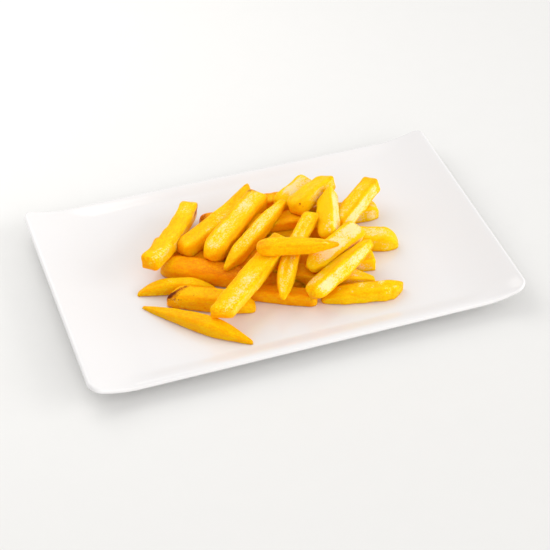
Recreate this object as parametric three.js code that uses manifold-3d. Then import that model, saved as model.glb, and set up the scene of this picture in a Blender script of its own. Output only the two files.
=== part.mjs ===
// A portion of thick-cut potato fries heaped on a long white porcelain plate.
// Millimetres, +Z up, +X along the plate's length, origin on the table under the plate's centre.
import * as THREE from 'three';
import Module from 'manifold-3d';

// Plate: a rounded rectangle whose two ends curl upwards
const PLATE_LENGTH = 300;
const PLATE_WIDTH = 183;
const PLATE_CORNER_RADIUS = 8;
const PLATE_THICKNESS = 4.7;
const SIDE_RIM_TOP = 12.65;
const END_LIFT = 6.5;
const END_LIFT_START = 117;
const FLOOR_TOP = 10.7;
const FLOOR_HALF_LENGTH = 103;
const FLOOR_HALF_WIDTH = 78;
const FLOOR_CORNER_RADIUS = 14;
const END_CURL_POWER = 1.8;

// Steps of a ring round the plate: each corner, each long side and each short side
const CORNER_STEPS = 4;
const SIDE_STEPS = [12, 6];

// Rings between the floor and the rim, as shares of the way, and round the edge, in degrees
const SLOPE_RINGS = [0, 0.2, 0.4, 0.6, 0.8, 1];
const EDGE_RINGS = [60, 30, 0, -30, -60];

// Foot ring under the plate
const FOOT_HALF_LENGTH = 100;
const FOOT_HALF_WIDTH = 58;
const FOOT_CORNER_RADIUS = 14;
const FOOT_RING_WIDTH = 6;
const FOOT_DRAFT = 1.5;
const FOOT_RECESS = 3.5;

// Fries rest this far above the plate
const FRY_CLEARANCE = 0.3;

// A fry's cross-section, a square with cut corners, as shares of half its width and
// thickness, and the places along its length where the section is drawn
const FRY_SECTION = [
  [-1, -0.6], [-1, 0.6], [-0.6, 1], [0.6, 1], [1, 0.6], [1, -0.6], [0.6, -1], [-0.6, -1],
];
const FRY_STATIONS = [0, 0.06, 0.2, 0.5, 0.8, 0.94, 1];

// How a fry's two ends narrow: tip as a share of the full width, the length over
// which it narrows, and how far a knife cut leans towards the fry's left
const ENDS = {
  point: { tip: 0.2, reach: 30, slant: 0 },
  sharp: { tip: 0.25, reach: 20, slant: 0 },
  taper: { tip: 0.35, reach: 18, slant: 0 },
  round: { tip: 0.6, reach: 9, slant: 0 },
  blunt: { tip: 0.72, reach: 6, slant: 0 },
  cut: { tip: 0.88, reach: 4, slant: 0 },
  snub: { tip: 0.4, reach: 14, slant: 0 },
  thorn: { tip: 0.15, reach: 48, slant: 0 },
  oblique: { tip: 0.72, reach: 14, slant: 6 },
  cornerCut: { tip: 0.9, reach: 4, slant: 4 },
  slant: { tip: 0.8, reach: 6, slant: -2 },
  leftCut: { tip: 0.8, reach: 5, slant: 5 },
  rightCut: { tip: 0.85, reach: 4, slant: -6 },
  slope: { tip: 0.7, reach: 8, slant: -4 },
  halfRound: { tip: 0.5, reach: 12, slant: 0 },
  longTaper: { tip: 0.45, reach: 32, slant: 0 },
};

// Fries that lie on the plate: centre, heading in degrees, [length, width, thickness],
// sideways bow of the middle where there is one, and the start and far ends
const LYING = {
  frontSpindle: { at: [-68, -50], turn: -44, size: [80, 11, 10], bow: -1, ends: ['thorn', 'point'] },
  leftCurl: { at: [-70, -14], turn: -16, size: [53, 10, 9], bow: 4, ends: ['sharp', 'taper'] },
  burntEnd: { at: [-52, -35], turn: -27, size: [57, 14, 12], ends: ['slope', 'snub'] },
  leftBed: { at: [-50, -6], turn: -32, size: [58, 16, 12], ends: ['halfRound', 'blunt'] },
  leftStub: { at: [-64, 26], turn: -34, size: [24, 10, 9], ends: ['blunt', 'blunt'] },
  frontBed: { at: [-7, -44], turn: -27, size: [47, 10, 9], ends: ['blunt', 'blunt'] },
  rightSpindle: { at: [43, -59], turn: -11, size: [53, 13, 10], ends: ['taper', 'oblique'] },
  centreBed: { at: [4, -26], turn: -38, size: [46, 12, 12], ends: ['blunt', 'blunt'] },
  hiddenBed: { at: [28, -11], turn: -31, size: [32, 12, 12], ends: ['blunt', 'blunt'] },
  hiddenLeft: { at: [-24, 9], turn: -30, size: [38, 12, 12], ends: ['blunt', 'blunt'] },
  hiddenCentre: { at: [8, 8], turn: -10, size: [46, 12, 10], ends: ['blunt', 'blunt'] },
  hiddenRight: { at: [38, 3], turn: -28, size: [26, 12, 16], ends: ['blunt', 'blunt'] },
  hiddenBack: { at: [-37, 28], turn: 18, size: [26, 10, 10], ends: ['blunt', 'blunt'] },
  backLeft: { at: [-19, 40], turn: -8, size: [36, 10, 10], ends: ['blunt', 'blunt'] },
  backBed: { at: [19, 48], turn: -7, size: [33, 10, 10], ends: ['blunt', 'blunt'] },
  shadedBed: { at: [7, 19], turn: -8, size: [50, 14, 17], ends: ['blunt', 'blunt'] },
  farRight: { at: [60, 19], turn: -5, size: [53, 12, 12], ends: ['blunt', 'round'] },
  rightPointer: { at: [72, -13], turn: -20, size: [32, 14, 12], ends: ['blunt', 'halfRound'] },
  rightStub: { at: [52, -30], turn: -8, size: [24, 11, 10], ends: ['blunt', 'cut'] },
  lowWedge: { at: [45, -44], turn: -15, size: [27, 10, 9], ends: ['blunt', 'taper'] },
};

// Fries that lean on the others: as above, with the centre's height, the climb
// in degrees and, where there is one, the roll of the cut faces about the length
const LEANING = {
  leftUpright: {
    at: [-61, 26, 25], turn: 51, climb: -6,
    size: [74, 12, 11], bow: -3, ends: ['cut', 'slant'],
  },
  longBack: {
    at: [-27, 30, 24], turn: 32, climb: 2,
    size: [75, 13, 12], bow: -2, ends: ['blunt', 'leftCut'],
  },
  paleRound: {
    at: [-19, 19, 27], turn: 42, climb: 1, roll: 5,
    size: [72, 15, 13], ends: ['halfRound', 'blunt'],
  },
  thinPale: {
    at: [-9, 5, 28], turn: 38, climb: 6, roll: 5,
    size: [74, 10, 11], ends: ['sharp', 'longTaper'],
  },
  bigDiagonal: {
    at: [-25, -36, 30], turn: 39, climb: 5, roll: 4,
    size: [77, 14, 11], ends: ['cornerCut', 'cut'],
  },
  paleBack: {
    at: [31, 39, 28], turn: 33, climb: 2, roll: 8,
    size: [34, 13, 9], ends: ['blunt', 'blunt'],
  },
  backSquare: {
    at: [39, 27, 33], turn: 31, roll: -18,
    size: [40, 12, 12], ends: ['blunt', 'slant'],
  },
  backStub: {
    at: [43, 3, 31], turn: 72, climb: 3, roll: -35,
    size: [41, 13, 12], ends: ['blunt', 'rightCut'],
  },
  rightLeaner: {
    at: [67, 14, 27], turn: 38, climb: 7, roll: -14,
    size: [50, 12, 12], ends: ['blunt', 'cut'],
  },
  centreLong: {
    at: [8, -25, 30], turn: 55, climb: 7,
    size: [78, 11, 9], bow: 4, ends: ['sharp', 'blunt'],
  },
  paleRight: {
    at: [36, -26, 29], turn: 29, climb: 3, roll: 12,
    size: [52, 15, 10], ends: ['snub', 'blunt'],
  },
  streaked: {
    at: [34, -44, 27], turn: 29, climb: 6, roll: -35,
    size: [62, 13, 12], ends: ['round', 'longTaper'],
  },
  topCrosser: {
    at: [9, -29, 42], turn: -13, climb: -2,
    size: [55, 11, 10], ends: ['round', 'point'],
  },
};

// Core of the heap: low flat-bottomed mounds under the fries, [half length, half width, height]
const MOUNDS = {
  middle: { at: [2, -8], turn: -15, size: [50, 36, 19] },
  left: { at: [-48, 2], turn: -28, size: [34, 24, 11] },
  right: { at: [40, -22], turn: -10, size: [21, 22, 11] },
  front: { at: [34, -43], turn: 15, size: [22, 12, 14] },
  back: { at: [16, 34], turn: -8, size: [46, 16, 11] },
  backRise: { at: [34, 31], turn: 25, size: [22, 16, 18] },
  spindleLink: { at: [-60, -43], turn: 46, size: [11, 5, 4] },
  burntLink: { at: [-44, -27], turn: -27, size: [9, 8, 8] },
};

// A mound's rings, as angles up its round side, and their points
const MOUND_RISES = [75, 50, 25, 0];
const MOUND_SIDES = 16;

// Derived sizes
const EDGE_RADIUS = PLATE_THICKNESS / 2;
const RIM_HALF_LENGTH = PLATE_LENGTH / 2 - EDGE_RADIUS;
const RIM_HALF_WIDTH = PLATE_WIDTH / 2 - EDGE_RADIUS;
const RIM_CORNER_RADIUS = PLATE_CORNER_RADIUS - EDGE_RADIUS;
const HEAP_BOTTOM = FLOOR_TOP + FRY_CLEARANCE;

const PORCELAIN = new THREE.MeshStandardMaterial({ color: 0xf5f2f1, roughness: 0.15, metalness: 0 });
const POTATO = new THREE.MeshStandardMaterial({ color: 0xf3b71b, roughness: 0.5, metalness: 0 });

const wasm = await Module();
wasm.setup();

/** Closed body through a row of rings with equal point counts, anticlockwise seen from outside ring 0. */
function ringBody(rings) {
  const count = rings[0].length;
  const middle = (ring) => ring.reduce((sum, p) => sum.add(p), new THREE.Vector3()).divideScalar(count);
  const points = [...rings.flat(), middle(rings[0]), middle(rings[rings.length - 1])];
  const last = (rings.length - 1) * count;
  const firstCentre = last + count;
  const index = [];
  for (let j = 0; j < count; j++) {
    const next = (j + 1) % count;
    index.push(firstCentre, j, next);
    index.push(firstCentre + 1, last + next, last + j);
    for (let start = 0; start < last; start += count) {
      index.push(start + j, start + count + j, start + count + next);
      index.push(start + j, start + count + next, start + next);
    }
  }
  const geometry = new THREE.BufferGeometry().setFromPoints(points);
  geometry.setIndex(index);
  return geometry;
}

/** Corner arcs and straight sides of a rounded rectangle, with the side points crowded at both ends. */
function roundedRectangle(halfLength, halfWidth, radius) {
  const ring = [];
  const straight = [2 * (halfLength - radius), 2 * (halfWidth - radius)];
  [[1, 1], [-1, 1], [-1, -1], [1, -1]].forEach(([signX, signY], corner) => {
    for (let k = 0; k <= CORNER_STEPS; k++) {
      const angle = (corner + k / CORNER_STEPS) * Math.PI / 2;
      const x = signX * (halfLength - radius) + radius * Math.cos(angle);
      const y = signY * (halfWidth - radius) + radius * Math.sin(angle);
      ring.push(new THREE.Vector3(x, y, 0));
    }
    const side = corner % 2;
    const from = ring[ring.length - 1];
    const heading = new THREE.Vector3(side === 0 ? -signX : 0, side === 1 ? -signY : 0, 0);
    for (let k = 1; k < SIDE_STEPS[side]; k++) {
      const along = straight[side] * (1 - Math.cos(Math.PI * k / SIDE_STEPS[side])) / 2;
      ring.push(from.clone().addScaledVector(heading, along));
    }
  });
  return ring;
}

/** Share of the way, 0 to 1, from one distance to another. */
function share(value, from, to) {
  return THREE.MathUtils.clamp((value - from) / (to - from), 0, 1);
}

/** Height of the rim's top, which lifts towards both ends. */
function rimTop(x) {
  return SIDE_RIM_TOP + END_LIFT * share(Math.abs(x), END_LIFT_START, RIM_HALF_LENGTH) ** 2;
}

/** Height of the plate's upper surface: flat floor, curled ends, and a soft rise to both long rims. */
function plateTop(x, y) {
  const end = share(Math.abs(x), FLOOR_HALF_LENGTH, RIM_HALF_LENGTH);
  const curl = THREE.MathUtils.lerp(FLOOR_TOP, SIDE_RIM_TOP + END_LIFT, end ** END_CURL_POWER);
  const side = THREE.MathUtils.smoothstep(Math.abs(y), FLOOR_HALF_WIDTH, RIM_HALF_WIDTH);
  return THREE.MathUtils.lerp(curl, rimTop(x), side);
}

/** Ring between the floor's outline (0) and the rim's centre line (1), on the top or underside. */
function slopeRing(outward, drop) {
  const { lerp } = THREE.MathUtils;
  const ring = roundedRectangle(
    lerp(FLOOR_HALF_LENGTH, RIM_HALF_LENGTH, outward),
    lerp(FLOOR_HALF_WIDTH, RIM_HALF_WIDTH, outward),
    lerp(FLOOR_CORNER_RADIUS, RIM_CORNER_RADIUS, outward),
  );
  return ring.map((p) => p.setZ(plateTop(p.x, p.y) - drop));
}

/** Ring round the half-round edge, at an angle above the rim's centre line. */
function edgeRing(angle) {
  const out = EDGE_RADIUS * Math.cos(angle);
  const up = EDGE_RADIUS * (Math.sin(angle) - 1);
  const ring = roundedRectangle(RIM_HALF_LENGTH + out, RIM_HALF_WIDTH + out, RIM_CORNER_RADIUS + out);
  return ring.map((p) => p.setZ(rimTop(p.x) + up));
}

/** Ring of the foot, a distance inside its outer wall. */
function footRing(inset, z) {
  const outline = [FOOT_HALF_LENGTH, FOOT_HALF_WIDTH, FOOT_CORNER_RADIUS].map((size) => size - inset);
  return roundedRectangle(...outline).map((p) => p.setZ(z));
}

/** Plate: from the floor out to the rim, round its edge, back underneath, and down and up the foot. */
function plateBody() {
  const top = SLOPE_RINGS.map((outward) => slopeRing(outward, 0));
  const edge = EDGE_RINGS.map((degrees) => edgeRing(THREE.MathUtils.degToRad(degrees)));
  const underside = SLOPE_RINGS.toReversed().map((outward) => slopeRing(outward, PLATE_THICKNESS));
  const foot = [
    footRing(-FOOT_DRAFT, FLOOR_TOP - PLATE_THICKNESS),
    footRing(0, 0),
    footRing(FOOT_RING_WIDTH, 0),
    footRing(FOOT_RING_WIDTH + FOOT_DRAFT, FOOT_RECESS),
  ];
  return ringBody([...top, ...edge, ...underside, ...foot]);
}

/** Width at a distance along the fry as a share of its full width. */
function narrowing(distance, length, start, far) {
  const open = (end, run) => end.tip + (1 - end.tip) * Math.sin(Math.PI / 2 * Math.min(run / end.reach, 1));
  return open(start, distance) * open(far, length - distance);
}

/** Fry: a square bar with cut corners along a gently bowed line, narrowing at both ends. */
function fryBody({ at, turn, climb = 0, roll = 0, size: [length, width, thickness], bow = 0, ends }) {
  const lying = at.length === 2;
  const centre = new THREE.Vector3(at[0], at[1], lying ? HEAP_BOTTOM + thickness / 2 : at[2]);
  const [yaw, pitch, spin] = [turn, climb, roll].map(THREE.MathUtils.degToRad);
  const basis = new THREE.Euler(spin, -pitch, yaw, 'ZYX');
  const ahead = new THREE.Vector3(1, 0, 0).applyEuler(basis);
  const left = new THREE.Vector3(0, 1, 0).applyEuler(basis);
  const up = new THREE.Vector3(0, 0, 1).applyEuler(basis);
  const sideways = new THREE.Vector3(-Math.sin(yaw), Math.cos(yaw), 0);
  const [start, far] = ends.map((name) => ENDS[name]);
  const rings = FRY_STATIONS.map((s) => {
    const grow = narrowing(s * length, length, start, far);
    const settle = lying ? (grow - 1) * thickness / 2 : 0;
    const line = centre.clone().addScaledVector(ahead, (s - 0.5) * length);
    line.addScaledVector(sideways, bow * (4 * s * (1 - s) - 2 / 3)).addScaledVector(up, settle);
    const lean = far.slant * s ** 3 - start.slant * (1 - s) ** 3;
    return FRY_SECTION.map(([across, height]) => line.clone()
      .addScaledVector(left, across * grow * width / 2)
      .addScaledVector(up, height * grow * thickness / 2)
      .addScaledVector(ahead, across * grow * lean));
  });
  return ringBody(rings);
}

/** Mound: half an ellipsoid standing on its flat base. */
function moundBody({ at, turn, size: [halfLength, halfWidth, height] }) {
  const rings = MOUND_RISES.map((degrees) => {
    const rise = THREE.MathUtils.degToRad(degrees);
    return Array.from({ length: MOUND_SIDES }, (_, k) => {
      const around = 2 * Math.PI * k / MOUND_SIDES;
      const x = halfLength * Math.cos(rise) * Math.cos(around);
      const y = halfWidth * Math.cos(rise) * Math.sin(around);
      return new THREE.Vector3(x, y, height * Math.sin(rise));
    });
  });
  const geometry = ringBody(rings);
  geometry.rotateZ(THREE.MathUtils.degToRad(turn));
  return geometry.translate(at[0], at[1], HEAP_BOTTOM);
}

/** Joins closed bodies into one. */
function fuse(geometries) {
  const solids = geometries.map((geometry) => new wasm.Manifold(new wasm.Mesh({
    numProp: 3,
    vertProperties: new Float32Array(geometry.attributes.position.array),
    triVerts: new Uint32Array(geometry.index.array),
  })));
  const joined = solids.reduce((sum, solid) => sum.add(solid)).getMesh();
  const geometry = new THREE.BufferGeometry();
  geometry.setAttribute('position', new THREE.BufferAttribute(joined.vertProperties, 3));
  geometry.setIndex(new THREE.BufferAttribute(joined.triVerts, 1));
  return geometry;
}

function heapBody() {
  const fries = [...Object.values(LYING), ...Object.values(LEANING)].map(fryBody);
  const mounds = Object.values(MOUNDS).map(moundBody);
  return fuse([...mounds, ...fries]);
}

/** Named mesh with one normal for each face. */
function subPart(name, geometry, material) {
  geometry.computeVertexNormals();
  const mesh = new THREE.Mesh(geometry, material);
  mesh.name = name;
  return mesh;
}

const portion = new THREE.Group();
portion.name = 'fries_on_plate';
portion.add(subPart('plate', plateBody(), PORCELAIN));
portion.add(subPart('fries', heapBody(), POTATO));

export default portion;
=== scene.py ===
"""A portion of thick-cut potato fries on a long porcelain plate, made as a Blender add-on.

Every piece is a numpy surface in metres, in the frame's own axes: +X along the plate, +Z up,
with the table at z = 0. Fries are listed in millimetres and degrees, as a cook's plan of the heap.
"""

import math
from types import SimpleNamespace

import bpy
import numpy as np
from mathutils import Matrix, Vector


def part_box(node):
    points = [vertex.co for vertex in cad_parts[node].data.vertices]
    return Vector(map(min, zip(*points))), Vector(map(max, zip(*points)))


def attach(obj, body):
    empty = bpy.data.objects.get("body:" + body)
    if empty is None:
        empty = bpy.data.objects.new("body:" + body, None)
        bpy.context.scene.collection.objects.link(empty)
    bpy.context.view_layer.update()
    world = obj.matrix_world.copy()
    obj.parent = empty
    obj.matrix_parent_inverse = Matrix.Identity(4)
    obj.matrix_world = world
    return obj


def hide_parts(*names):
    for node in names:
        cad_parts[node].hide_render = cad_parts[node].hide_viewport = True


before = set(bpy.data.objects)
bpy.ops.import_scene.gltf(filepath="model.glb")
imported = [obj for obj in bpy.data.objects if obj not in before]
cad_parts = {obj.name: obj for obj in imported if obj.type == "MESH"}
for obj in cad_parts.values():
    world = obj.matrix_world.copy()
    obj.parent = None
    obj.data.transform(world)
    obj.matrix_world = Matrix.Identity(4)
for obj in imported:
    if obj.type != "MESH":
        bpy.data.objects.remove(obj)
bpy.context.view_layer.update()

bl_info = {
    "name": "Fries on a plate",
    "version": (1, 0, 0),
    "blender": (4, 5, 0),
    "location": "View3D > Sidebar > Fries",
    "description": "Builds a heap of potato fries on a long porcelain plate",
    "category": "Add Mesh",
}

MM = 0.001

# Plate, in metres
PLATE_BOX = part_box("plate")
PLATE_HALF_LENGTH = PLATE_BOX[1].x
PLATE_HALF_WIDTH = PLATE_BOX[1].y
PLATE_CORNER_RADIUS = 8 * MM
PLATE_THICKNESS = 4.7 * MM
SIDE_RIM_TOP = 12.65 * MM
END_LIFT = 6.5 * MM
END_LIFT_START = 117 * MM
FLOOR_TOP = 10.7 * MM
FLOOR_HALF_LENGTH = 103 * MM
FLOOR_HALF_WIDTH = 78 * MM
FLOOR_CORNER_RADIUS = 14 * MM
END_CURL_POWER = 1.8

# Foot ring under the plate
FOOT_HALF_LENGTH = 100 * MM
FOOT_HALF_WIDTH = 58 * MM
FOOT_CORNER_RADIUS = 14 * MM
FOOT_RING_WIDTH = 6 * MM
FOOT_DRAFT = 1.5 * MM
FOOT_RECESS = 3.5 * MM
FOOT_BEAD = 0.5 * MM
FOOT_BEAD_RISE = 0.1 * MM

# The lowest fries touch the plate to within this
FRY_CLEARANCE = 0.05 * MM
HEAP_BOTTOM = FLOOR_TOP + FRY_CLEARANCE

# How a fry's two ends narrow: tip as a share of the full width, then in millimetres the length
# over which it narrows, how far a knife cut leans to the left, and the rounding of the very end
ENDS = {
    "point": (0.2, 30, 0, 1.6),
    "sharp": (0.25, 20, 0, 1.6),
    "taper": (0.35, 18, 0, 1.8),
    "round": (0.6, 9, 0, 3.2),
    "blunt": (0.72, 6, 0, 2.6),
    "cut": (0.88, 4, 0, 1.5),
    "snub": (0.4, 14, 0, 2.4),
    "thorn": (0.15, 48, 0, 1.4),
    "oblique": (0.72, 14, 6, 2.0),
    "corner_cut": (0.9, 4, 4, 1.8),
    "slant": (0.8, 6, -2, 1.6),
    "left_cut": (0.8, 5, 5, 1.4),
    "right_cut": (0.85, 4, -6, 1.4),
    "slope": (0.7, 8, -4, 2.6),
    "half_round": (0.5, 12, 0, 5),
    "long_taper": (0.45, 32, 0, 2.4),
}

# Fries that lie on the plate: centre, heading, (length, width, thickness), bow, and the start's
# and the far end's shape
LYING = {
    "front_spindle": ((-68, -50), -44, (80, 11, 10), -1, ("thorn", "point")),
    "left_curl": ((-70, -14), -16, (53, 10, 9), 4, ("sharp", "taper")),
    "burnt_end": ((-52, -35), -27, (57, 14, 12), 0, ("slope", "snub")),
    "left_bed": ((-50, -6), -32, (58, 16, 12), 0, ("half_round", "blunt")),
    "left_stub": ((-64, 26), -34, (24, 10, 9), 0, ("blunt", "blunt")),
    "front_bed": ((-7, -44), -27, (47, 10, 9), 0, ("blunt", "blunt")),
    "right_spindle": ((43, -59), -11, (53, 13, 10), 0, ("taper", "oblique")),
    "centre_bed": ((4, -26), -38, (46, 12, 12), 0, ("blunt", "blunt")),
    "hidden_bed": ((28, -11), -31, (32, 12, 12), 0, ("blunt", "blunt")),
    "hidden_left": ((-24, 9), -30, (38, 12, 12), 0, ("blunt", "blunt")),
    "hidden_centre": ((8, 8), -10, (46, 12, 10), 0, ("blunt", "blunt")),
    "hidden_right": ((38, 3), -28, (26, 12, 16), 0, ("blunt", "blunt")),
    "hidden_back": ((-37, 28), 18, (26, 10, 10), 0, ("blunt", "blunt")),
    "back_left": ((-19, 40), -8, (36, 10, 10), 0, ("blunt", "blunt")),
    "back_bed": ((19, 48), -7, (33, 10, 10), 0, ("blunt", "blunt")),
    "shaded_bed": ((7, 19), -8, (50, 14, 17), 0, ("blunt", "blunt")),
    "far_right": ((60, 19), -5, (53, 12, 12), 0, ("blunt", "round")),
    "right_pointer": ((72, -13), -20, (32, 14, 12), 0, ("blunt", "half_round")),
    "right_stub": ((52, -30), -8, (24, 11, 10), 0, ("blunt", "cut")),
    "low_wedge": ((45, -44), -15, (27, 10, 9), 0, ("blunt", "taper")),
}

# Fries that lean on the others: centre, (heading, climb, roll), then as above
LEANING = {
    "left_upright": ((-61, 26, 25), (51, -6, 0), (74, 12, 11), -3, ("cut", "slant")),
    "long_back": ((-27, 30, 24), (32, 2, 0), (75, 13, 12), -2, ("blunt", "left_cut")),
    "pale_round": ((-19, 19, 27), (42, 1, 5), (72, 15, 13), 0, ("half_round", "blunt")),
    "thin_pale": ((-9, 5, 28), (38, 6, 5), (74, 10, 11), 0, ("sharp", "long_taper")),
    "big_diagonal": ((-25, -36, 30), (39, 5, 4), (77, 14, 11), 0, ("corner_cut", "cut")),
    "pale_back": ((31, 39, 28), (33, 2, 8), (34, 13, 9), 0, ("blunt", "blunt")),
    "back_square": ((39, 27, 33), (31, 0, -18), (40, 12, 12), 0, ("blunt", "slant")),
    "back_stub": ((43, 3, 31), (72, 3, -35), (41, 13, 12), 0, ("blunt", "right_cut")),
    "right_leaner": ((67, 14, 27), (38, 7, -14), (50, 12, 12), 0, ("blunt", "cut")),
    "centre_long": ((8, -25, 30), (55, 7, 0), (78, 11, 9), 4, ("sharp", "blunt")),
    "pale_right": ((36, -26, 29), (29, 3, 12), (52, 15, 10), 0, ("snub", "blunt")),
    "streaked": ((34, -44, 27), (29, 6, -35), (62, 13, 12), 0, ("round", "long_taper")),
    "top_crosser": ((9, -29, 41), (-13, -2, 0), (55, 11, 10), 0, ("round", "point")),
}

# Low mounds that fill the inside of the heap: centre, heading, (half length, half width, height)
MOUNDS = {
    "middle": ((2, -8), -15, (44, 30, 12)),
    "left": ((-46, 4), -28, (29, 18, 8)),
    "right": ((40, -22), -10, (17, 20, 8)),
    "front": ((35, -36), 28, (22, 7, 16)),
    "back": ((16, 33), -8, (40, 12, 8)),
    "back_rise": ((34, 30), 25, (19, 13, 11)),
    "left_rise": ((-13, 14), 40, (26, 11, 15)),
}

# How pale each fry is on its top and on its right side, 0 golden to 1 cream, and how deeply it is
# fried: -1 yellow, 0 golden, 1 amber. The right side's paleness is partly cut face and partly a
# painted highlight from the light on the right. Amber below 0 is partly painted light on brightly
# lit fries, and the high amber of fries lying low in the heap is partly painted shade. A fry's row
# here also seeds its unevenness.
PALENESS = {
    "front_spindle": (0.09, 0.05, 0.08),
    "left_curl": (0.16, 0.24, 0.10),
    "burnt_end": (0.28, 0.30, 0.25),
    "left_bed": (0.04, 0.05, 0.40),
    "left_stub": (0.10, 0.10, 0.50),
    "front_bed": (0.02, 0.02, 0.40),
    "right_spindle": (0.30, 0.24, -0.15),
    "centre_bed": (0.02, 0.02, 0.20),
    "hidden_bed": (0.05, 0.02, 0.55),
    "hidden_left": (0.05, 0.02, 0.55),
    "hidden_centre": (0.05, 0.02, 0.45),
    "hidden_right": (0.25, 0.20, -0.30),
    "hidden_back": (0.15, 0.05, 0.35),
    "back_left": (0.05, 0.05, 0.60),
    "back_bed": (0.25, 0.10, 0.25),
    "shaded_bed": (0.02, 0.10, 0.20),
    "far_right": (0.62, 0.85, -0.90),
    "right_pointer": (0.66, 0.48, -0.70),
    "right_stub": (0.45, 0.62, -1.00),
    "low_wedge": (0.62, 0.55, -0.90),
    "left_upright": (0.24, 0.50, -0.05),
    "long_back": (0.32, 0.35, 0.00),
    "pale_round": (0.62, 0.20, 0.05),
    "thin_pale": (0.68, 0.20, 0.10),
    "big_diagonal": (0.40, 0.40, 0.00),
    "pale_back": (1.00, 0.50, -0.40),
    "back_square": (0.36, 0.62, -0.40),
    "back_stub": (0.10, 1.00, -0.95),
    "right_leaner": (0.50, 0.98, -0.10),
    "centre_long": (0.64, 0.30, 0.05),
    "pale_right": (1.12, 0.50, -0.50),
    "streaked": (0.20, 0.78, -0.10),
    "top_crosser": (0.16, 0.15, 0.20),
}

# Painted shade: how much more amber these fries become on top towards their far end, which lies
# under other fries
FAR_END_PAINTED_SHADE = {"left_bed": 1.5}

# Burnt spots, and pale blisters together with painted glints of light: distance from the start in
# mm, angle round the section from its right over its top in degrees, reach in mm, strength
SCORCHES = {
    "burnt_end": ((9, 116, 1.8, 0.4), (7.5, 102, 1.9, 0.5), (6, 88, 1.8, 0.6),
                  (5, 74, 1.8, 0.8), (4.2, 60, 2.0, 1.3), (3.2, 46, 2.0, 1.2),
                  (1.8, 32, 1.6, 0.6), (0.5, 60, 2.2, 0.9), (0.2, 20, 2.2, 0.5),
                  (8.2, 84, 1.5, 0.26), (7.6, 68, 1.5, 0.3), (7, 54, 1.5, 0.3),
                  (6.4, 40, 1.5, 0.34), (5.6, 26, 1.8, 0.4), (10, 24, 1.2, 0.25),
                  (17.5, 60, 0.8, 0.3)),
    "left_upright": ((71, 20, 2.2, 1.1), (68, 12, 2.2, 0.8), (64, 12, 2.5, 0.4)),
    "back_square": ((3, 30, 1.0, 0.4), (5, 10, 0.8, 0.35)),
    "back_left": ((2, 90, 5, 0.35),),
    "back_bed": ((5, 135, 4, 0.3),),
    "left_bed": ((14, 140, 1.2, 0.35),),
    "pale_round": ((69, 130, 3.5, 0.3),),
}
# Pale patches, and painted glints: the small strong spots near the ends of left_upright, back_stub,
# right_spindle and top_crosser are painted highlights
PALE_PATCHES_AND_GLINTS = {
    "left_upright": ((2, 60, 1.8, 0.8), (4, 50, 2, 1.0), (7, 46, 1.8, 1.1), (11, 42, 1.8, 1.0),
                     (15, 40, 1.8, 1.0), (19, 44, 1.6, 0.8), (8, 85, 2, 0.8), (12, 75, 2, 0.6),
                     (0, 40, 2.2, 0.5), (62, 95, 11, 0.3)),
    "right_spindle": ((27, 110, 1.8, 0.9), (39, 118, 2.0, 1.0), (47, 40, 2.5, 0.6),
                      (50, 80, 2.0, 0.6), (44, 70, 1.2, 0.6), (34, 80, 1.2, 0.6),
                      (20, 60, 1.2, 0.5), (12, 95, 1.4, 0.5)),
    "top_crosser": ((46, 70, 2.2, 0.7), (14, 100, 7, 0.25)),
    "back_stub": ((2, 60, 1.6, 1.0), (4, 90, 1.3, 1.0), (6, 70, 1.5, 1.1), (7, 50, 2.2, 1.0),
                  (9, 95, 1.2, 0.8), (10, 62, 1.3, 0.9), (14, 52, 2.5, 0.7)),
    "big_diagonal": ((0, 90, 6, 0.35), (1, 55, 7, 0.45), (9, 58, 6, 0.5), (20, 60, 6, 0.5),
                     (31, 65, 7, 0.3)),
    "long_back": ((40, 95, 12, 0.3),),
    "front_spindle": ((50, 95, 9, 0.2),),
    "streaked": ((9, 100, 8, 0.7), (24, 115, 5, 0.4)),
    "burnt_end": ((7.5, 48, 1.6, 0.35), (6.5, 30, 2.0, 0.4), (8, 14, 2.0, 0.35)),
    "left_curl": ((22, 80, 6, 0.3), (34, 60, 5, 0.25)),
    "left_bed": ((6, 70, 5, 0.4),),
}

# Fries with golden ends: how far the gold runs in from the start and from the far end, in mm
GOLDEN_ENDS = {"thin_pale": (34, 12), "pale_right": (13, 4), "pale_back": (12, 5),
               "back_square": (20, 3), "pale_round": (7, 6), "big_diagonal": (3, 14)}
GOLDEN_END_RANGE = (4, 10)

# Tops that are paler towards their left, above 0, or towards their right, below 0
LOPSIDED = {"pale_round": 0.6, "long_back": -0.7, "big_diagonal": -0.6, "left_upright": -0.4,
            "pale_back": 0.3, "thin_pale": 0.2}

# Grooves along the top: how far from the middle as a share of the half width, and strength
GROOVES = {"centre_long": (0.1, 0.7), "streaked": (0.2, 0.5)}
GROOVE_REACH = 0.2
GROOVE_DEPTH = 0.35 * MM
GROOVE_ABOVE = 0.3

# A groove starts at the first share of the fry's length from an end and is full at the second
GROOVE_START = (0.12, 0.3)
GROOVE_END = (0.1, 0.25)

# How square these fries are across, as the power of their section. The others draw theirs from
# the range, and one that lies on the plate is so many times squarer underneath.
ROUNDED = {"front_spindle": 3.2, "left_curl": 3.0, "burnt_end": 3.4, "left_bed": 3.0,
           "right_spindle": 3.4, "top_crosser": 3.4}
SQUARE_RANGE = (5.5, 9.5)
LOWER_SQUARENESS = 2

# How uneven a fry is: its twist in degrees, how far its faces sink, as a share, and waves along
# it, as a mean, a depth and a count
MOST_TWIST = 5
SINK_RANGE = (0.01, 0.05)
SWELL = (1.02, 0.03, 1.3)
SQUEEZE = (1.0, 0.03, 1.7)

# The lumps repeat after this many cells, and each fry starts within this distance in them
LATTICE_CELLS = 16
SKIN_SPREAD = 0.2

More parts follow.
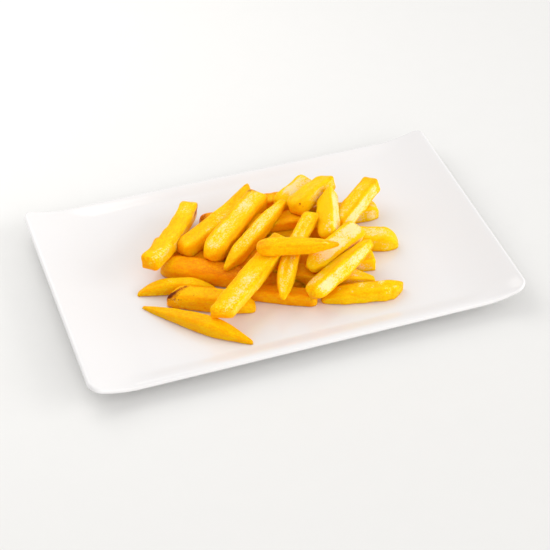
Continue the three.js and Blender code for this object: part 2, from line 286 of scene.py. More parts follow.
# Cells of the lumps, of the finer lumps over them, of the drift in colour, and of the mounds
LUMP_CELL = 7.5 * MM
FINE_LUMP_CELL = 3.1 * MM
FINE_LUMP_SHARE = 0.45
DRIFT_CELL = 9 * MM
MOUND_CELL = 6 * MM
MOUND_RELIEF = 1.2 * MM
# Painted shade: the mounds are amber so the inside of the heap reads as deep shade between the
# fries
MOUND_PAINTED_SHADE = 0.6

# How much more amber a fry is at its ends, on its edges, where the drift is high, and underneath,
# and the least amber underneath; the underside amber is painted shade
END_AMBER = 0.25
EDGE_AMBER = 0.2
DRIFT_AMBER = 0.12
LYING_UNDERSIDE_SHADE = 0.45
LEANING_UNDERSIDE_SHADE = 0.3
LEAST_UNDERSIDE_SHADE = 0.5

# The share of its paleness that a fry keeps at its ends, how much the drift changes it, what a
# groove takes of it as painted shade in the groove, and the most that a lopsided top gains
END_PALENESS = 0.25
DRIFT_PALENESS = 0.45
GROOVE_PAINTED_SHADE = 0.8
MOST_LOPSIDED = 1.4

# A face fades into an edge between these shares of the way from its middle. A point counts as on
# top, on the right or underneath from the first of these heights on, and fully from the second.
EDGE_FADE = (0.5, 0.92)
TOP_FADE = (0.35, 0.9)
RIGHT_FADE = (0.5, 0.9)
UNDERSIDE_FADE = (0.4, 1)

# The skin's pattern is this much finer across a fry than along it
FIBRE_STRETCH = 0.5

# Scales of the skin's noises, per metre
PATCH_SCALE = 200
GRAIN_SCALE = 620
SPECK_SCALE = 1050
BLISTER_SCALE = 900
ROUGH_SCALE = 650
FINE_ROUGH_SCALE = 1700

# The rounding of a fry's very ends is a superellipse of this power. Rings crowd at the ends by
# the second power, and points crowd at the section's corners by this much of a turn.
END_POWER = 2.6
CROWDING_POWER = 0.8
CORNER_CROWDING = 0.12

# Mesh density: points and rings, and the angles of a mound's rings in degrees
SECTION_POINTS = 44
END_RINGS = 9
BODY_RINGS = 46
MOUND_POINTS = 48
MOUND_ANGLES = (0, 6, 14, 23, 33, 44, 56, 70)
RING_STEPS = {"corner": 12, "long": 72, "short": 40}
SLOPE_RINGS = 25
EDGE_RINGS = 13


class PlateSettings(bpy.types.PropertyGroup):
    glaze: bpy.props.FloatVectorProperty(
        name="Glaze", description="Colour of the glazed porcelain", subtype="COLOR",
        default=(0.80, 0.795, 0.803), size=3, min=0, max=1)
    gloss: bpy.props.FloatProperty(
        name="Roughness", description="Roughness of the glaze", subtype="FACTOR",
        default=0.16, min=0, max=1)


class FrySettings(bpy.types.PropertyGroup):
    golden: bpy.props.FloatVectorProperty(
        name="Golden", description="Fried skin on the edges and sides", subtype="COLOR",
        default=(1.0, 0.47, 0.002), size=3, min=0, max=1)
    yellow: bpy.props.FloatVectorProperty(
        name="Yellow", description="Lightly fried skin between golden and cream", subtype="COLOR",
        default=(1.0, 0.62, 0.004), size=3, min=0, max=1)
    cream: bpy.props.FloatVectorProperty(
        name="Cream", description="Pale cut faces", subtype="COLOR",
        default=(1.0, 0.735, 0.35), size=3, min=0, max=1)
    # Amber is deeply fried skin and also the colour of the painted shade under and inside the heap
    amber: bpy.props.FloatVectorProperty(
        name="Amber", description="More deeply fried skin", subtype="COLOR",
        default=(0.93, 0.31, 0.002), size=3, min=0, max=1)
    browned: bpy.props.FloatVectorProperty(
        name="Browned", description="Skin round the burnt places", subtype="COLOR",
        default=(0.48, 0.10, 0.004), size=3, min=0, max=1)
    scorch: bpy.props.FloatVectorProperty(
        name="Scorch", description="Burnt edges and spots", subtype="COLOR",
        default=(0.11, 0.014, 0.003), size=3, min=0, max=1)
    relief: bpy.props.FloatProperty(
        name="Relief", description="Height of the lumps and blisters of the skin",
        subtype="DISTANCE", unit="LENGTH", default=0.34 * MM, min=0, max=2 * MM)
    seed: bpy.props.IntProperty(
        name="Seed", description="Chooses the unevenness of the fries", default=7, min=0)


class StageSettings(bpy.types.PropertyGroup):
    floor: bpy.props.FloatVectorProperty(
        name="Floor", description="Colour of the studio floor", subtype="COLOR",
        default=(0.80, 0.80, 0.79), size=3, min=0, max=1)
    key: bpy.props.FloatProperty(
        name="Key light", description="Power of the soft main light", subtype="POWER",
        unit="POWER", default=43, min=0)
    front: bpy.props.FloatProperty(
        name="Front light", description="Power of the wide light at the front", subtype="POWER",
        unit="POWER", default=21, min=0)
    back: bpy.props.FloatProperty(
        name="Back light", description="Power of the near light behind the plate", subtype="POWER",
        unit="POWER", default=2.0, min=0)
    fill: bpy.props.FloatProperty(
        name="Fill", description="Strength of the even light from all round", default=0.77, min=0)


def share(value, start, end):
    """How far a value has gone from start to end, kept between 0 and 1."""
    return np.clip((value - start) / (end - start), 0, 1)


def ease(t):
    """A share made to start and end gently: 3t squared less 2t cubed."""
    return t * t * (3 - 2 * t)


def mix(a, b, t):
    """The value a share t of the way from a to b."""
    return a + (b - a) * t


def tube_faces(rings, count):
    """Quads between consecutive rings of count points, and fans to a pole at both ends.

    The points are the rings in order, then the first pole and the last pole.
    """
    here = np.arange(count)
    nxt = (here + 1) % count
    starts = np.arange(rings - 1)[:, None] * count
    quads = np.stack([starts + here, starts + count + here,
                      starts + count + nxt, starts + nxt], axis=-1).reshape(-1, 4)
    last = (rings - 1) * count
    pole = rings * count
    first_fan = np.stack([np.full(count, pole), here, nxt], axis=-1)
    last_fan = np.stack([np.full(count, pole + 1), last + nxt, last + here], axis=-1)
    return quads, np.concatenate([first_fan, last_fan])


def new_piece(name, parts, material, replaced):
    """One object from a list of (points, quads, triangles, {attribute: values})."""
    offset, points, faces, extra = 0, [], [], {}
    for part_points, quads, triangles, attributes in parts:
        points.append(part_points)
        faces += (quads + offset).tolist() + (triangles + offset).tolist()
        for key, values in attributes.items():
            extra.setdefault(key, []).append(values)
        offset += len(part_points)
    mesh = bpy.data.meshes.new(name)
    mesh.from_pydata(np.concatenate(points), [], faces)
    for key, values in extra.items():
        values = np.concatenate(values).astype(np.float32)
        kind, field = ("FLOAT", "value") if values.ndim == 1 else ("FLOAT_VECTOR", "vector")
        layer = mesh.attributes.new(key, kind, "POINT")
        layer.data.foreach_set(field, values.ravel())
    mesh.shade_smooth()
    mesh.materials.append(material)
    mesh.update()
    piece = bpy.data.objects.new(name, mesh)
    bpy.context.scene.collection.objects.link(piece)
    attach(piece, "root")
    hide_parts(replaced)


# ---------------------------------------------------------------- materials

def new_material(name):
    """An empty node material and a helper that adds a node and links its inputs."""
    material = bpy.data.materials.new(name)
    material.use_nodes = True
    tree = material.node_tree
    tree.nodes.clear()

    def add(kind, inputs=None, **settings):
        node = tree.nodes.new(kind)
        for key, value in settings.items():
            setattr(node, key, value)
        for key, value in (inputs or {}).items():
            if isinstance(value, bpy.types.NodeSocket):
                tree.links.new(value, node.inputs[key])
            else:
                node.inputs[key].default_value = value
        return node

    return material, add


def rgba(colour):
    """A colour property as four numbers."""
    return (*colour, 1)


def colour_mix(add, factor, a, b):
    """Colour a turned into colour b by a factor."""
    node = add("ShaderNodeMix", {0: factor}, data_type="RGBA")
    tree = node.id_data
    for socket, value in ((node.inputs[6], a), (node.inputs[7], b)):
        if isinstance(value, bpy.types.NodeSocket):
            tree.links.new(value, socket)
        else:
            socket.default_value = value
    return node.outputs[2]


def porcelain(settings):
    """White glaze: a faint warm mottling, a slow waviness and a clear coat."""
    material, add = new_material("porcelain")
    place = add("ShaderNodeTexCoord").outputs["Object"]
    cloud = add("ShaderNodeTexNoise", {"Vector": place, "Scale": 18.0, "Detail": 3.0})
    wave = add("ShaderNodeTexNoise", {"Vector": place, "Scale": 45.0, "Detail": 2.0})
    warm = tuple(c * k for c, k in zip(settings.glaze, (1.0, 0.99, 0.98)))
    colour = colour_mix(add, cloud.outputs["Fac"], rgba(settings.glaze), rgba(warm))
    bump = add("ShaderNodeBump", {"Height": wave.outputs["Fac"], "Strength": 0.05,
                                  "Distance": 0.4 * MM})
    shader = add("ShaderNodeBsdfPrincipled", {
        "Base Color": colour, "Roughness": settings.gloss, "Normal": bump.outputs["Normal"],
        "IOR": 1.5, "Coat Weight": 0.35, "Coat Roughness": 0.06})
    add("ShaderNodeOutputMaterial", {"Surface": shader.outputs["BSDF"]})
    return material


def fried_potato(settings):
    """Fried potato: cream cut faces inside golden edges, amber patches, blisters and scorches, with
    painted glints, painted shade under and inside the heap, and painted light on lit sides.
    """
    material, add = new_material("fried_potato")
    place = add("ShaderNodeTexCoord").outputs["Object"]
    pale, amber, burnt, blanch_and_glint = (
        add("ShaderNodeAttribute", attribute_name=name).outputs["Fac"]
        for name in ("pale", "amber", "burnt", "blanch_and_glint"))
    fibre = add("ShaderNodeAttribute", attribute_name="fibre").outputs["Vector"]

    def noise(scale, detail, where=place):
        return add("ShaderNodeTexNoise", {"Vector": where, "Scale": scale, "Detail": detail,
                                          "Roughness": 0.6}).outputs["Fac"]

    def ramp(value, low, high, to_low=0.0, to_high=1.0):
        return add("ShaderNodeMapRange", {"Value": value, "From Min": low, "From Max": high,
                                          "To Min": to_low, "To Max": to_high}).outputs["Result"]

    def maths(kind, a, b):
        return add("ShaderNodeMath", {0: a, 1: b}, operation=kind).outputs["Value"]

    def weigh(*pairs):
        total = 0.0
        for value, weight in pairs:
            total = maths("ADD", maths("MULTIPLY", value, weight), total)
        return total

    patch = ramp(noise(PATCH_SCALE, 3.0, fibre), 0.32, 0.68, -1.0, 1.0)
    grain = ramp(noise(GRAIN_SCALE, 3.0, fibre), 0.36, 0.64, -1.0, 1.0)
    specks = ramp(noise(SPECK_SCALE, 2.0), 0.38, 0.62, -1.0, 1.0)
    mottle = weigh((patch, 0.20), (grain, 0.22), (specks, 0.28))
    mottling = maths("ADD", maths("MULTIPLY", pale, 0.75), 0.3)
    paleness = maths("ADD", pale, maths("MULTIPLY", mottle, mottling))
    # The pale spots include painted glints of light
    bubbles = ramp(noise(BLISTER_SCALE, 2.0), 0.45, 0.56, 0.25, 1.4)
    paleness = maths("ADD", paleness, maths("MULTIPLY", blanch_and_glint, bubbles))
    # The amber attribute is partly painted shade under and inside the heap, and below 0 partly
    # painted light
    toast_and_shade = maths("ADD", amber, weigh((patch, -0.22), (grain, -0.2), (specks, -0.12)))
    skin = colour_mix(add, ramp(toast_and_shade, -1.0, 0.0), rgba(settings.yellow), rgba(settings.golden))
    skin = colour_mix(add, ramp(toast_and_shade, 0.0, 1.0), skin, rgba(settings.amber))
    skin = colour_mix(add, ramp(toast_and_shade, 1.0, 3.0), skin, rgba(settings.browned))
    face = colour_mix(add, ramp(paleness, 0.0, 0.5), skin, rgba(settings.yellow))
    face = colour_mix(add, ramp(paleness, 0.55, 1.0), face, rgba(settings.cream))
    uneven = maths("ADD", burnt, weigh((grain, 0.12), (specks, 0.14)))
    heat = maths("MULTIPLY", uneven, ramp(burnt, 0.02, 0.12))
    browned = colour_mix(add, ramp(heat, 0.05, 0.4), face, rgba(settings.browned))
    colour = colour_mix(add, ramp(heat, 0.4, 0.8), browned, rgba(settings.scorch))
    roughened = weigh((noise(ROUGH_SCALE, 4.0), 1.0), (noise(FINE_ROUGH_SCALE, 2.0), 0.35))
    bump = add("ShaderNodeBump", {"Height": roughened, "Strength": 0.7, "Distance": 0.4 * MM})
    shader = add("ShaderNodeBsdfPrincipled", {
        "Base Color": colour, "Roughness": ramp(patch, -1.0, 1.0, 0.34, 0.5),
        "Normal": bump.outputs["Normal"], "IOR": 1.45,
        "Specular IOR Level": 0.14, "Specular Tint": (1.0, 0.8, 0.2, 1),
        "Subsurface Weight": ramp(heat, 0.0, 0.5, 0.75, 0.0), "Subsurface Radius": (1.0, 0.6, 0.08),
        "Subsurface Scale": 4.5 * MM})
    add("ShaderNodeOutputMaterial", {"Surface": shader.outputs["BSDF"]})
    return material


def matt_floor(settings):
    """Pale studio floor with a barely visible grain."""
    material, add = new_material("studio_floor")
    place = add("ShaderNodeTexCoord").outputs["Object"]
    grain = add("ShaderNodeTexNoise", {"Vector": place, "Scale": 60.0, "Detail": 2.0})
    dull = tuple(c * 0.985 for c in settings.floor)
    colour = colour_mix(add, grain.outputs["Fac"], rgba(settings.floor), rgba(dull))
    shader = add("ShaderNodeBsdfPrincipled", {"Base Color": colour, "Roughness": 0.85})
    add("ShaderNodeOutputMaterial", {"Surface": shader.outputs["BSDF"]})
    return material


# ---------------------------------------------------------------- plate

def rounded_rectangle(half_length, half_width, radius):
    """Corner arcs joined by straight sides, anticlockwise, with side points crowded at both ends.

    A side's points are at (1 - cos(pi t)) / 2 of its length.
    """
    quarter = np.linspace(0, 1, RING_STEPS["corner"] + 1)
    ring = []
    for corner, (sign_x, sign_y) in enumerate(((1, 1), (-1, 1), (-1, -1), (1, -1))):
        angle = (corner + quarter) * math.pi / 2
        arc = np.stack([sign_x * (half_length - radius) + radius * np.cos(angle),
                        sign_y * (half_width - radius) + radius * np.sin(angle)], axis=-1)
        along_x = corner % 2 == 0
        steps = RING_STEPS["long" if along_x else "short"]
        run = 2 * ((half_length if along_x else half_width) - radius)
        t = np.arange(1, steps) / steps
        heading = np.array([-sign_x if along_x else 0, 0 if along_x else -sign_y])
        side = arc[-1] + heading * (run * (1 - np.cos(math.pi * t)) / 2)[:, None]
        ring += [arc, side]
    return np.concatenate(ring)


def rim_top(x):
    """Height of the rim's top: level in the middle, lifting with the distance squared."""
    half = PLATE_HALF_LENGTH - PLATE_THICKNESS / 2
    return SIDE_RIM_TOP + END_LIFT * share(np.abs(x), END_LIFT_START, half) ** 2


def plate_top(x, y):
    """Height of the upper surface: flat floor, ends curling up, and an eased rise to the sides."""
    rim_x = PLATE_HALF_LENGTH - PLATE_THICKNESS / 2
    rim_y = PLATE_HALF_WIDTH - PLATE_THICKNESS / 2
    end = share(np.abs(x), FLOOR_HALF_LENGTH, rim_x) ** END_CURL_POWER
    curl = mix(FLOOR_TOP, SIDE_RIM_TOP + END_LIFT, end)
    return mix(curl, rim_top(x), ease(share(np.abs(y), FLOOR_HALF_WIDTH, rim_y)))


def with_height(ring, height):
    """A flat ring given its height."""
    return np.column_stack([ring, np.broadcast_to(height, len(ring))])


def plate_surface():
    """Rings from the floor to the rim, round its half-round edge, and back below to the foot."""
    edge = PLATE_THICKNESS / 2
    rim = (PLATE_HALF_LENGTH - edge, PLATE_HALF_WIDTH - edge, PLATE_CORNER_RADIUS - edge)
    floor = (FLOOR_HALF_LENGTH, FLOOR_HALF_WIDTH, FLOOR_CORNER_RADIUS)
    foot = (FOOT_HALF_LENGTH, FOOT_HALF_WIDTH, FOOT_CORNER_RADIUS)

    def slope(outward, drop):
        ring = rounded_rectangle(*(mix(a, b, outward) for a, b in zip(floor, rim)))
        return with_height(ring, plate_top(ring[:, 0], ring[:, 1]) - drop)

    def round_edge(angle):
        ring = rounded_rectangle(*(size + edge * math.cos(angle) for size in rim))
        return with_height(ring, rim_top(ring[:, 0]) + edge * (math.sin(angle) - 1))

    def foot_ring(inset, z):
        return with_height(rounded_rectangle(*(size - inset for size in foot)), z)

    outwards = np.linspace(0, 1, SLOPE_RINGS)
    angles = np.linspace(math.pi / 2, -math.pi / 2, EDGE_RINGS + 2)[1:-1]
    under = FLOOR_TOP - PLATE_THICKNESS
    bead, low, wide = FOOT_BEAD, FOOT_BEAD_RISE, FOOT_RING_WIDTH
    foot_profile = ((-FOOT_DRAFT - 2 * bead, under), (-FOOT_DRAFT, under - bead),
                    (-bead, bead), (0, low), (bead, 0),
                    (wide - bead, 0), (wide, low), (wide + bead, bead),
                    (wide + FOOT_DRAFT, FOOT_RECESS - bead),
                    (wide + FOOT_DRAFT + 2 * bead, FOOT_RECESS))
    rings = [slope(t, 0) for t in outwards]
    rings += [round_edge(a) for a in angles]
    rings += [slope(t, PLATE_THICKNESS) for t in outwards[::-1]]
    rings += [foot_ring(inset, z) for inset, z in foot_profile]
    count = len(rings[0])
    poles = [[0, 0, FLOOR_TOP], [0, 0, FOOT_RECESS]]
    quads, fans = tube_faces(len(rings), count)
    return np.concatenate([*rings, poles]), quads, fans


# ---------------------------------------------------------------- fries

def lumps(points, cell, seed):
    """Smooth relief from -1 to 1: seeded values on a cubic lattice, eased between neighbours."""
    table = np.random.default_rng(seed).uniform(-1, 1, (LATTICE_CELLS,) * 3)
    scaled = points / cell
    corner = np.floor(scaled).astype(int)
    t = ease(scaled - corner)
    total = np.zeros(points.shape[:-1])
    for step in np.ndindex(2, 2, 2):
        weight = np.prod(np.where(step, t, 1 - t), axis=-1)
        total += weight * table[tuple(np.moveaxis((corner + step) % LATTICE_CELLS, -1, 0))]
    return total


def ring_places(length, start_cap, far_cap):
    """Distances along a fry: close together where its ends round over, even in between.

    A rounded end of reach c has its rings at c (1 - cos(q) ^ CROWDING_POWER), with q from 0 to 90
    degrees.
    """
    q = np.linspace(0, math.pi / 2, END_RINGS + 1)[1:]
    start = start_cap * (1 - np.cos(q) ** CROWDING_POWER)
    far = length - far_cap * (1 - np.cos(q[::-1]) ** CROWDING_POWER)
    middle = np.linspace(start_cap, length - far_cap, BODY_RINGS + 1)[1:-1]
    return np.concatenate([start, middle, far])


def end_width(distance, tip, reach, cap):
    """Width share near one end: a taper that opens as a sine, times the rounding of the very end.

    The rounding is the superellipse (1 - (1 - distance / cap) ^ n) ^ (1 / n), n = END_POWER.
    """
    taper = tip + (1 - tip) * np.sin(math.pi / 2 * np.clip(distance / reach, 0, 1))
    inside = 1 - np.clip(distance / cap, 0, 1)
    return taper * (1 - inside ** END_POWER) ** (1 / END_POWER)


def waves_along(s, start, mean, depth, count):
    """A size that waves gently along a fry: mean + depth sin(2 pi count s + start)."""
    return mean + depth * np.sin(2 * math.pi * count * s + start)


def spots(listed, along, turn, thickness):
    """Each spot fades as exp(-(distance / reach) squared), measured along and round the fry."""
    girth = 4 * thickness
    total = np.zeros(np.broadcast_shapes(along.shape, turn.shape))
    for start, angle, reach, strength in listed:
        wrap = np.abs((np.degrees(turn) - angle + 180) % 360 - 180) / 360 * girth
        gap = np.sqrt((along - start * MM) ** 2 + wrap ** 2) / (reach * MM)
        total = np.maximum(total, strength * np.exp(-gap ** 2))
    return total


def section(name, draw, s, lying):
    """Each point's angle from the right, and where it sits to the left and up, from -1 to 1.

    The section is the superellipse |x|^n + |z|^n = 1 with slightly sunken faces, and it twists
    along the length.
    """
    turn = (np.arange(SECTION_POINTS) + 0.5) / SECTION_POINTS * 2 * math.pi
    turn = turn + CORNER_CROWDING * np.sin(4 * turn)
    power = ROUNDED.get(name, draw.uniform(*SQUARE_RANGE))
    twist = math.radians(draw.uniform(-MOST_TWIST, MOST_TWIST)) * (s - 0.5)
    if lying:
        power = np.where(np.sin(turn) < 0, LOWER_SQUARENESS * power, power)
    radius = (np.abs(np.cos(turn)) ** power + np.abs(np.sin(turn)) ** power) ** (-1 / power)
    radius = radius * (1 - draw.uniform(*SINK_RANGE) * np.cos(2 * turn) ** 4)
    across, height = -np.cos(turn) * radius, np.sin(turn) * radius
    return (turn, across * np.cos(twist) - height * np.sin(twist),
            across * np.sin(twist) + height * np.cos(twist))


def groove_depth(name, along, length, across, height):
    """A groove's strength, fading as exp(-(distance / reach) squared) and towards both ends."""
    middle, strength = GROOVES.get(name, (0, 0))
    depth = strength * np.exp(-((across - middle) / GROOVE_REACH) ** 2) * (height > GROOVE_ABOVE)
    for distance, (start, full) in ((along, GROOVE_START), (length - along, GROOVE_END)):
        depth = depth * ease(share(distance, start * length, full * length))
    return depth


def fry_looks(name, fry, draw, lying, seed):
    """How pale, amber, burnt, blistered and glinting each point of a fry is, its amber partly
    painted shade.

    Faces are pale in their middle and golden towards edges and ends. Undersides are amber as
    painted shade, the right side is paler partly as painted light, and the pale spots include
    painted glints.
    """
    sideways, upwards = np.abs(fry.across), np.abs(fry.height)
    from_middle = np.minimum(sideways, upwards) / np.maximum(sideways, upwards)
    face = 1 - ease(share(from_middle, *EDGE_FADE))
    facing_up = ease(share(np.sin(fry.turn), *TOP_FADE))
    facing_right = ease(share(np.cos(fry.turn), *RIGHT_FADE))
    fades = np.array(GOLDEN_ENDS.get(name, draw.uniform(*GOLDEN_END_RANGE, 2))) * MM
    inward = ease(share(fry.along, 0, fades[0])) * ease(share(fry.length - fry.along, 0, fades[1]))
    drift = lumps(fry.skin, DRIFT_CELL, seed + 2)

    top_pale, side_pale_and_lit, amber = PALENESS[name]
    top_pale = top_pale * np.clip(1 + LOPSIDED.get(name, 0) * fry.across, 0, MOST_LOPSIDED)
    # The right side's paleness is partly a painted highlight from the light on the right
    pale = face * (top_pale * facing_up + side_pale_and_lit * facing_right)
    pale = pale * mix(END_PALENESS, 1, inward) * (1 + DRIFT_PALENESS * drift)
    # Painted shade: a groove is less pale
    pale = pale * (1 - GROOVE_PAINTED_SHADE * fry.groove)

    outer = END_AMBER * (1 - inward) + EDGE_AMBER * (1 - face)
    under = LYING_UNDERSIDE_SHADE if lying else LEANING_UNDERSIDE_SHADE
    amber_with_shade = amber + outer * (1 - top_pale) + DRIFT_AMBER * drift
    # Painted shade: undersides are more amber
    amber_with_shade = amber_with_shade + under * ease(share(-fry.height, 0, 1))
    # Painted shade: more amber on top towards the far end
    amber_with_shade = amber_with_shade + FAR_END_PAINTED_SHADE.get(name, 0) * fry.along / fry.length * facing_up
    # Painted shade: undersides are at least this amber
    least = np.maximum(amber_with_shade, LEAST_UNDERSIDE_SHADE)
    amber_with_shade = mix(amber_with_shade, least, ease(share(-fry.height, *UNDERSIDE_FADE)))

    burnt, blanch_and_glint = (spots(listed.get(name, ()), fry.along, fry.turn, fry.thickness)
                       for listed in (SCORCHES, PALE_PATCHES_AND_GLINTS))
    return {"pale": pale, "amber": amber_with_shade, "burnt": burnt, "blanch_and_glint": blanch_and_glint}


def fry_surface(name, centre, angles, size, bow, ends, lying, settings):
    """A fry: a rounded square carried along a gently bowed line, narrowing at both ends.

    It swells a little along the length by waves_along(), and lumps() moves the skin in or out.
    The bow is the parabola 4 s (1 - s), and a cut leans by the cube of the distance.
    """
    number = list(PALENESS).index(name)
    draw = np.random.default_rng([settings.seed, number])
    length, width, thickness = (v * MM for v in size)
    tips, reaches, leans, caps = zip(*(ENDS[e] for e in ends))
    caps = [c * MM for c in caps]
    along = ring_places(length, *caps)[:, None]
    s = along / length
    grow = end_width(along, tips[0], reaches[0] * MM, caps[0])
    grow = grow * end_width(length - along, tips[1], reaches[1] * MM, caps[1])

    turn, across, height = section(name, draw, s, lying)
    # Four are drawn and two used, so that what is drawn after them stays the same
    swell_start, squeeze_start, *_ = draw.uniform(0, 2 * math.pi, 4)
    left = across * grow * width / 2 * waves_along(s, swell_start, *SWELL)
    rise = height * grow * thickness / 2 * waves_along(s, squeeze_start, *SQUEEZE)
    groove = groove_depth(name, along, length, across, height)
    rise = rise - groove * GROOVE_DEPTH

    own = np.stack(np.broadcast_arrays(along, left, rise), axis=-1)
    shifted = own + draw.uniform(0, SKIN_SPREAD, 3)
    relief = lumps(shifted, LUMP_CELL, settings.seed)
    relief = relief + FINE_LUMP_SHARE * lumps(shifted, FINE_LUMP_CELL, settings.seed + 1)
    outward = 1 + settings.relief * relief / (thickness / 2)
    left, rise = left * outward, rise * outward

    lean = leans[1] * MM * s ** 3 - leans[0] * MM * (1 - s) ** 3
    ahead = along - length / 2 + across * grow * lean
    side_bow = bow * MM * (4 * s * (1 - s) - 2 / 3)
    settle = (grow - 1) * thickness / 2 if lying else 0

    yaw, pitch, spin = (math.radians(a) for a in angles)
    basis = np.array(Matrix.Rotation(yaw, 3, "Z") @ Matrix.Rotation(-pitch, 3, "Y")
                     @ Matrix.Rotation(spin, 3, "X"))
    place = np.stack(np.broadcast_arrays(ahead, left, rise + settle), axis=-1) @ basis.T
    place = place + np.array([-math.sin(yaw), math.cos(yaw), 0]) * side_bow[..., None]
    place = place + np.array(centre) * MM
    place[..., 2] = np.maximum(place[..., 2], HEAP_BOTTOM)

    def with_poles(values):
        values = np.broadcast_to(values, place.shape[:2])
        return np.concatenate([values.ravel(), [values[0].mean(), values[-1].mean()]])

    fry = SimpleNamespace(along=along, length=length, thickness=thickness, turn=turn,
                          across=across, height=height, groove=groove, skin=shifted)
    looks = fry_looks(name, fry, draw, lying, settings.seed)
    looks = {key: with_poles(values) for key, values in looks.items()}
    fibre = (shifted * (FIBRE_STRETCH, 1, 1)).reshape(-1, 3)
    looks["fibre"] = np.concatenate([fibre, fibre[:1], fibre[-1:]])

    quads, fans = tube_faces(len(along), SECTION_POINTS)
    points = np.concatenate([place.reshape(-1, 3), [place[0].mean(0), place[-1].mean(0)]])
    return points, quads, fans, looks


def mound_surface(centre, heading, size, settings):
    """A low dome, cos(a) wide and sin(a) high with a from 0 to 90 degrees, roughened by lumps()."""
    half_length, half_width, height = (v * MM for v in size)
    rise = np.radians(MOUND_ANGLES)[:, None]
    turn = np.arange(MOUND_POINTS) / MOUND_POINTS * 2 * math.pi
    yaw = math.radians(heading)
    ahead = half_length * np.cos(rise) * np.cos(turn)
    left = half_width * np.cos(rise) * np.sin(turn)
    x = centre[0] * MM + ahead * math.cos(yaw) - left * math.sin(yaw)
    y = centre[1] * MM + ahead * math.sin(yaw) + left * math.cos(yaw)
    z = HEAP_BOTTOM + height * np.sin(rise) + 0 * turn
    place = np.stack([x, y, z], axis=-1)
    uneven = lumps(place[1:] * (1, 1, 0), MOUND_CELL, settings.seed + 3)
    place[1:, :, 2] += MOUND_RELIEF * uneven
    place[..., 2] = np.maximum(place[..., 2], HEAP_BOTTOM)
    quads, fans = tube_faces(len(rise), MOUND_POINTS)
    points = np.concatenate([place.reshape(-1, 3), [place[0].mean(0), place[-1].mean(0)]])
    none = np.zeros(len(points))
    # The mounds' amber is painted shade
    return points, quads, fans, {"pale": none, "amber": none + MOUND_PAINTED_SHADE, "burnt": none,
                                 "blanch_and_glint": none, "fibre": points}


def all_fries(settings):
    """Every fry of the heap, those on the plate first, over its mounds."""
    bottom = HEAP_BOTTOM / MM
    for name, ((x, y), heading, size, bow, ends) in LYING.items():
        centre = (x, y, bottom + size[2] / 2)
        yield fry_surface(name, centre, (heading, 0, 0), size, bow, ends, True, settings)
    for name, (centre, angles, size, bow, ends) in LEANING.items():
        yield fry_surface(name, centre, angles, size, bow, ends, False, settings)
    for centre, heading, size in MOUNDS.values():
        yield mound_surface(centre, heading, size, settings)


# ---------------------------------------------------------------- stage

# Lens, sensor and place in millimetres, and azimuth, elevation and roll in degrees
CAMERA_LENS = 107.12
CAMERA_SENSOR = 36
CAMERA_PLACE = (-285.2, -785.9, 746.1)
CAMERA_TURN = (-20.198, 42.0, 0.878)

# Width of the square floor, in metres
FLOOR_SIZE = 6.0

# Soft lamps: where they stand, in degrees from +X and above the table, then how far off and how
# wide they are in metres
KEY_LAMP = (-26, 18, 3.0, 2.0)
FRONT_LAMP = (-75, 16, 3.0, 2.4)
BACK_LAMP = (125, 48, 0.7, 0.6)
LAMP_COLOUR = (1.0, 0.985, 0.96)
FILL_COLOUR = (1.0, 0.99, 0.985, 1)


def camera_matrix(place, azimuth, elevation, roll):
    """Camera axes: right and up turned by the roll about the line back from the object."""
    a, e, r = (math.radians(v) for v in (azimuth, elevation, roll))
    back = Vector((math.sin(a) * math.cos(e), -math.cos(a) * math.cos(e), math.sin(e)))
    level = Vector((math.cos(a), math.sin(a), 0))
    upright = back.cross(level)
    right = level * math.cos(r) + upright * math.sin(r)
    up = upright * math.cos(r) - level * math.sin(r)
    turned = Matrix((right, up, back)).transposed().to_4x4()
    return Matrix.Translation(Vector(place) * MM) @ turned


def add_camera():
    """Camera at the front left, looking down at the plate."""
    camera = bpy.data.objects.new("camera", bpy.data.cameras.new("camera"))
    camera.data.lens = CAMERA_LENS
    camera.data.sensor_width = CAMERA_SENSOR
    camera.matrix_world = camera_matrix(CAMERA_PLACE, *CAMERA_TURN)
    bpy.context.scene.collection.objects.link(camera)
    bpy.context.scene.camera = camera


def add_lamp(name, power, azimuth, elevation, distance, width):
    """Square softbox turned towards the plate."""
    light = bpy.data.lights.new(name, "AREA")
    light.energy = power
    light.size = width
    light.color = LAMP_COLOUR
    lamp = bpy.data.objects.new(name, light)
    a, e = math.radians(azimuth), math.radians(elevation)
    towards = Vector((math.cos(a) * math.cos(e), math.sin(a) * math.cos(e), math.sin(e)))
    lamp.location = towards * distance
    lamp.rotation_mode = "QUATERNION"
    lamp.rotation_quaternion = towards.to_track_quat("Z", "Y")
    bpy.context.scene.collection.objects.link(lamp)


def add_floor(settings):
    """Flat square floor under the plate."""
    half = FLOOR_SIZE / 2
    mesh = bpy.data.meshes.new("studio_floor")
    corners = [(-half, -half, 0), (half, -half, 0), (half, half, 0), (-half, half, 0)]
    mesh.from_pydata(corners, [], [(0, 1, 2, 3)])
    mesh.materials.append(matt_floor(settings))
    floor = bpy.data.objects.new("studio_floor", mesh)
    bpy.context.scene.collection.objects.link(floor)


def add_fill(strength):
    """Even light from all round."""
    world = bpy.data.worlds.new("studio")
    world.use_nodes = True
    background = world.node_tree.nodes["Background"]
    background.inputs["Color"].default_value = FILL_COLOUR
    background.inputs["Strength"].default_value = strength
    bpy.context.scene.world = world


# ---------------------------------------------------------------- operators

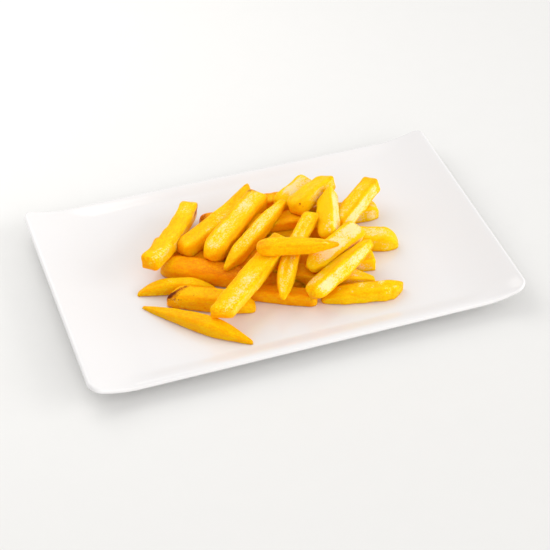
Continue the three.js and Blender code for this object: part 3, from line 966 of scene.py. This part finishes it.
class FRIES_OT_stage(bpy.types.Operator):
    """Sets up the camera, the floor and the soft light"""
    bl_idname = "fries.stage"
    bl_label = "Stage"

    def execute(self, context):
        settings = context.scene.fries_stage
        add_camera()
        add_floor(settings)
        add_lamp("key", settings.key, *KEY_LAMP)
        add_lamp("front", settings.front, *FRONT_LAMP)
        add_lamp("back", settings.back, *BACK_LAMP)
        add_fill(settings.fill)
        context.scene.view_settings.view_transform = "Standard"
        return {"FINISHED"}


class FRIES_OT_plate(bpy.types.Operator):
    """Makes the porcelain plate"""
    bl_idname = "fries.plate"
    bl_label = "Plate"

    def execute(self, context):
        points, quads, fans = plate_surface()
        glaze = porcelain(context.scene.fries_plate)
        new_piece("plate_glazed", [(points, quads, fans, {})], glaze, "plate")
        return {"FINISHED"}


class FRIES_OT_heap(bpy.types.Operator):
    """Makes every fry of the heap as one piece"""
    bl_idname = "fries.heap"
    bl_label = "Fries"

    def execute(self, context):
        settings = context.scene.fries_heap
        skin = fried_potato(settings)
        new_piece("fries_heap", list(all_fries(settings)), skin, "fries")
        return {"FINISHED"}


class FRIES_PT_panel(bpy.types.Panel):
    """Lists the sizes, colours and steps"""
    bl_label = "Fries on a plate"
    bl_space_type = "VIEW_3D"
    bl_region_type = "UI"
    bl_category = "Fries"

    def draw(self, context):
        groups = (("fries_plate", PlateSettings, FRIES_OT_plate),
                  ("fries_heap", FrySettings, FRIES_OT_heap),
                  ("fries_stage", StageSettings, FRIES_OT_stage))
        for key, group, operator in groups:
            box = self.layout.box()
            for name in group.__annotations__:
                box.prop(getattr(context.scene, key), name)
            box.operator(operator.bl_idname)


CLASSES = (PlateSettings, FrySettings, StageSettings,
           FRIES_OT_stage, FRIES_OT_plate, FRIES_OT_heap, FRIES_PT_panel)


def register():
    for cls in CLASSES:
        bpy.utils.register_class(cls)
    bpy.types.Scene.fries_plate = bpy.props.PointerProperty(type=PlateSettings)
    bpy.types.Scene.fries_heap = bpy.props.PointerProperty(type=FrySettings)
    bpy.types.Scene.fries_stage = bpy.props.PointerProperty(type=StageSettings)


def unregister():
    del bpy.types.Scene.fries_plate
    del bpy.types.Scene.fries_heap
    del bpy.types.Scene.fries_stage
    for cls in reversed(CLASSES):
        bpy.utils.unregister_class(cls)


def main():
    register()
    bpy.ops.fries.stage()
    bpy.ops.fries.plate()
    bpy.ops.fries.heap()


if __name__ == "__main__":
    main()
